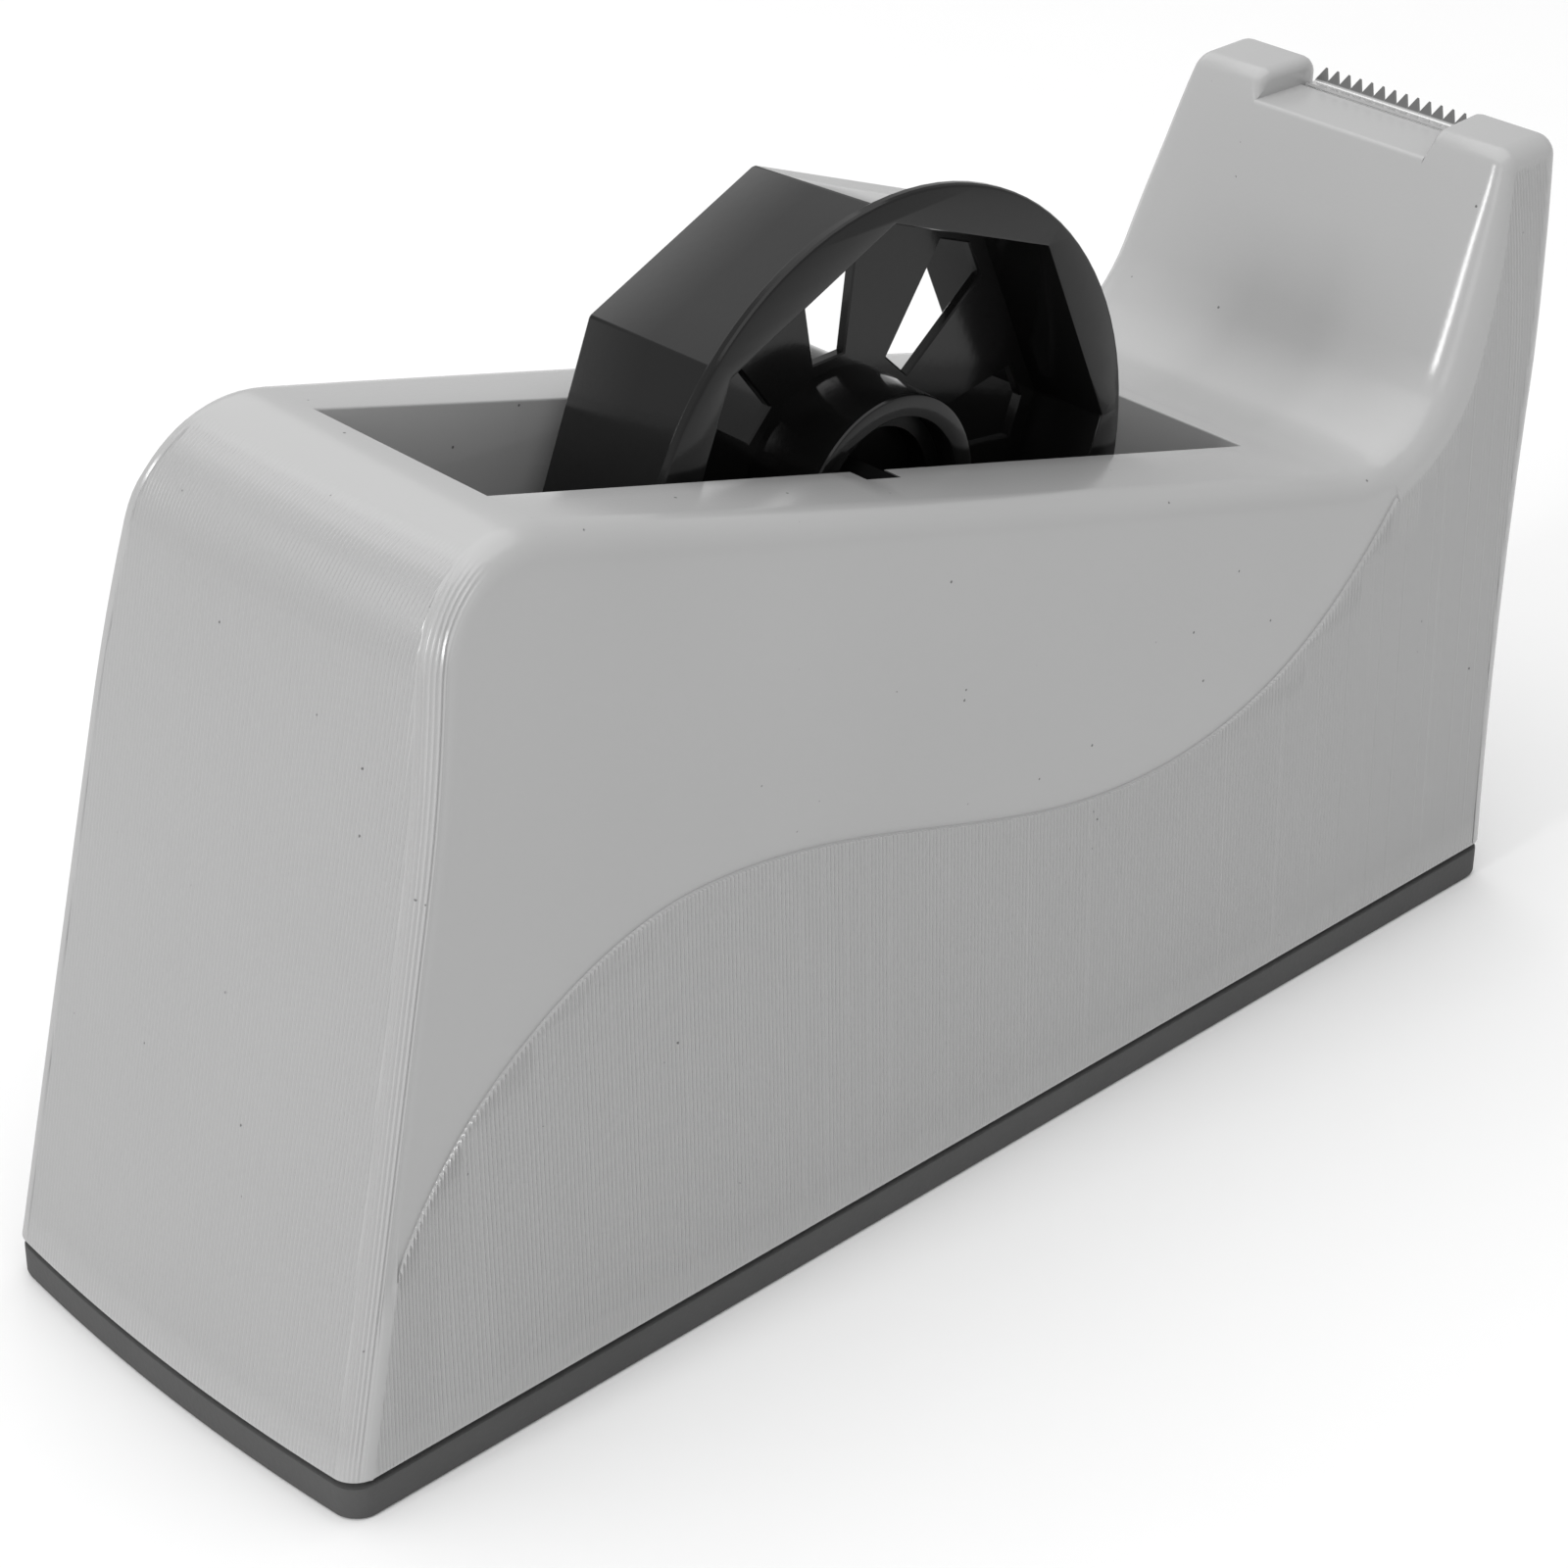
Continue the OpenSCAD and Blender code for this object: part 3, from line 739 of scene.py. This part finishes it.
pad = Mesh()
levels = [(0.6, 0.0), (0.25, 0.2), (0.12, 0.6), (0.12, PAD_T - 0.9), (0.2, PAD_T - 0.6), (0.5, PAD_T - 0.45),
          (3.0, PAD_T - 0.45), (3.0, PAD_T)]
pad_rows = [[(x, y, z) for x, y, _ in pad_outline(t)] for t, z in levels]
pad.loft(pad_rows, closed=True)
pad.fill([pad_rows[0]])
pad.fill([pad_rows[-1]])
pad.piece("pad_body", "base", pad_rubber, ["base_pad"])

# --- core drum ------------------------------------------------------------------------------

DRUM_R, DRUM_TIP_R, FLANGE_R, DRUM_WALL = 38.0, 36.8, 39.7, 1.5
FLANGE_Y, TIP_Y, WEB_Y, FLANGE_T = -12.9, 10.7, -2.0, 1.5
BORE_R, BOSS_R, BOSS_BASE_R = 11.35, 14.1, 14.6
DRUM_TURN = math.radians(1.2)
EIGHTH = math.pi / 4


def turn_about_axis(points):
    """Points given as (along the axis, radius, angle from the drum's first corner)."""
    out = []
    for y, r, a in points:
        t = a + DRUM_TURN
        out.append((AXIS[0] + r * math.cos(t), y, AXIS[1] + r * math.sin(t)))
    return out


def octagon(r, soft=0.7, steps=5):
    """Eight-sided outline of circumradius r with rounded corners, as (radius, angle) pairs."""
    flat = r * math.cos(EIGHTH / 2)
    pairs = []
    for i in range(8):
        a = EIGHTH * i
        centre = np.array([math.cos(a), math.sin(a)]) * (r - soft / math.cos(EIGHTH / 2))
        for j in range(steps):
            b = a - EIGHTH / 2 + EIGHTH * j / (steps - 1)
            p = centre + soft * np.array([math.cos(b), math.sin(b)])
            pairs.append((float(np.hypot(*p)), math.atan2(p[1], p[0])))
        for share in (-0.5, 0, 0.5):
            off = math.atan(share * math.tan(EIGHTH / 2))
            pairs.append((flat / math.cos(off), a + EIGHTH / 2 + off))
    return pairs


def ring_at(y, pairs):
    return turn_about_axis([(y, r, a) for r, a in pairs])


def circle(r, n=96):
    return [(r, 2 * math.pi * i / n) for i in range(n)]


def taper(y):
    return DRUM_R + (DRUM_TIP_R - DRUM_R) * (y - FLANGE_Y) / (TIP_Y - FLANGE_Y)


drum = Mesh()
inner_gap = DRUM_WALL / math.cos(EIGHTH / 2)
# Barrel: outer skin from the flange to the open end, round its lip, and back inside to the flange
outer = [(FLANGE_Y + FLANGE_T, 0), (FLANGE_Y + 4, 0), (0, 0), (TIP_Y - 0.4, 0), (TIP_Y - 0.1, 0.15),
         (TIP_Y, 0.45)]
inner = [(TIP_Y, inner_gap - 0.45), (TIP_Y - 0.1, inner_gap - 0.15), (TIP_Y - 0.4, inner_gap),
         (WEB_Y + DRUM_WALL, inner_gap)]
inner_near = [(WEB_Y, inner_gap), (FLANGE_Y + 0.4, inner_gap), (FLANGE_Y + 0.1, inner_gap - 0.15),
              (FLANGE_Y, inner_gap - 0.45)]
drum.loft([ring_at(y, octagon(taper(y) - t)) for y, t in outer + inner], closed=True)
drum.loft([ring_at(y, octagon(taper(y) - t)) for y, t in inner_near], closed=True)
# Flange: an annulus with a rounded rim
flange_hole = ring_at(FLANGE_Y, octagon(taper(FLANGE_Y) - inner_gap + 0.45))
drum.fill([ring_at(FLANGE_Y, circle(FLANGE_R - 0.5)), flange_hole])
drum.loft([ring_at(y, circle(r)) for y, r in (
    (FLANGE_Y, FLANGE_R - 0.5), (FLANGE_Y + 0.12, FLANGE_R - 0.18), (FLANGE_Y + 0.4, FLANGE_R),
    (FLANGE_Y + FLANGE_T - 0.4, FLANGE_R), (FLANGE_Y + FLANGE_T - 0.12, FLANGE_R - 0.18),
    (FLANGE_Y + FLANGE_T, FLANGE_R - 0.5))], closed=True)
drum.fill([ring_at(FLANGE_Y + FLANGE_T, circle(FLANGE_R - 0.5)),
           ring_at(FLANGE_Y + FLANGE_T, octagon(taper(FLANGE_Y + FLANGE_T)))])

# Web with a window behind each corner
CHAMFER = 0.2
WINDOW_HALF, WINDOW_LOW, WINDOW_TIP = math.radians(8.8), 16.3, 33.3
window_edge = WINDOW_TIP * math.cos(EIGHTH / 2) / math.cos(EIGHTH / 2 - WINDOW_HALF)


def windows(grow=0.0):
    """The five-sided windows, as (radius, angle) loops grown outwards by a chamfer."""
    loops = []
    for i in range(8):
        a = EIGHTH * i
        low, high, half = WINDOW_LOW - grow, window_edge + grow, WINDOW_HALF
        wide = [half + math.atan(grow / r) for r in (low, high)]
        loops.append([(low, a - wide[0]), (high, a - wide[1]), (WINDOW_TIP + grow, a),
                      (high, a + wide[1]), (low, a + wide[0])])
    return loops


for y, boss in ((WEB_Y, BOSS_BASE_R), (WEB_Y + DRUM_WALL, BOSS_R)):
    drum.fill([ring_at(y, octagon(taper(y) - inner_gap))] + [ring_at(y, w) for w in windows(CHAMFER)]
              + [ring_at(y, circle(boss))])
for wide, w in zip(windows(CHAMFER), windows()):
    drum.loft([ring_at(WEB_Y, wide), ring_at(WEB_Y + CHAMFER, w), ring_at(WEB_Y + DRUM_WALL - CHAMFER, w),
               ring_at(WEB_Y + DRUM_WALL, wide)], closed=True)

# Boss: a cone towards the flange and a plain collar towards the open end
near_face, far_face = FLANGE_Y + 0.8, TIP_Y - 0.5
drum.loft([ring_at(y, circle(r)) for y, r in (
    (WEB_Y, BOSS_BASE_R), (near_face + 0.35, BOSS_R + 0.04), (near_face + 0.1, BOSS_R - 0.1),
    (near_face, BOSS_R - 0.35), (near_face, BORE_R + 0.3), (near_face + 0.1, BORE_R + 0.08),
    (near_face + 0.3, BORE_R), (far_face - 0.3, BORE_R), (far_face, BORE_R + 0.3),
    (far_face, BOSS_R - 0.35), (far_face - 0.35, BOSS_R), (WEB_Y + DRUM_WALL, BOSS_R))], closed=True)
drum.piece("drum_body", "drum", drum_plastic, ["drum"], 25)

# --- stage ----------------------------------------------------------------------------------

bpy.ops.mesh.primitive_plane_add(size=8, location=(0, 0, 0))
floor = bpy.context.object
floor.name = "floor"
floor.data.materials.append(surface("floor_paint", 0.86, 0.01, 0.9, 400, 0.02))

# Soft white studio, as (name, place, side, power in watts); each light faces the middle of the object
AIM = Vector((0, 0, 0.06))
STUDIO = [
    ("left", (-1.05, 0.0, 0.58), 0.26, 3.9),
    ("top", (0.0, 0.0, 1.2), 1.6, 9.6),
    ("back", (0.3, 1.0, 0.8), 0.8, 1.2),
    ("front", (-0.75, -0.85, 0.6), 0.4, 0.7),
]
# Brightness of the white surroundings as they light the object; the camera sees them plain white
SKY = 0.64
scene = bpy.context.scene
scene.world = scene.world or bpy.data.worlds.new("world")
scene.world.use_nodes = True
sky = scene.world.node_tree
background = sky.nodes["Background"]
background.inputs["Color"].default_value = grey(1)
seen = sky.nodes.new("ShaderNodeMapRange")
seen.inputs["To Min"].default_value, seen.inputs["To Max"].default_value = SKY, 1.0
sky.links.new(sky.nodes.new("ShaderNodeLightPath").outputs["Is Camera Ray"], seen.inputs["Value"])
sky.links.new(seen.outputs["Result"], background.inputs["Strength"])
scene.view_settings.view_transform = "Standard"
for name, place, side, power in STUDIO:
    lamp = bpy.data.lights.new(name, "AREA")
    lamp.shape, lamp.size, lamp.energy = "SQUARE", side, power
    light = bpy.data.objects.new(name, lamp)
    light.location = place
    light.rotation_euler = (AIM - Vector(place)).to_track_quat("-Z", "Y").to_euler()
    scene.collection.objects.link(light)

camera_data = bpy.data.cameras.new("camera")
camera_data.lens, camera_data.sensor_width = 91.296, 36
camera_data.shift_x, camera_data.shift_y = 0.02884, -0.02909
camera = bpy.data.objects.new("camera", camera_data)
camera.location = (-0.300977, -0.304377, 0.292211)
camera.rotation_euler = [math.radians(a) for a in (60.193, -0.151, -43.404)]
scene.collection.objects.link(camera)
bpy.context.scene.camera = camera
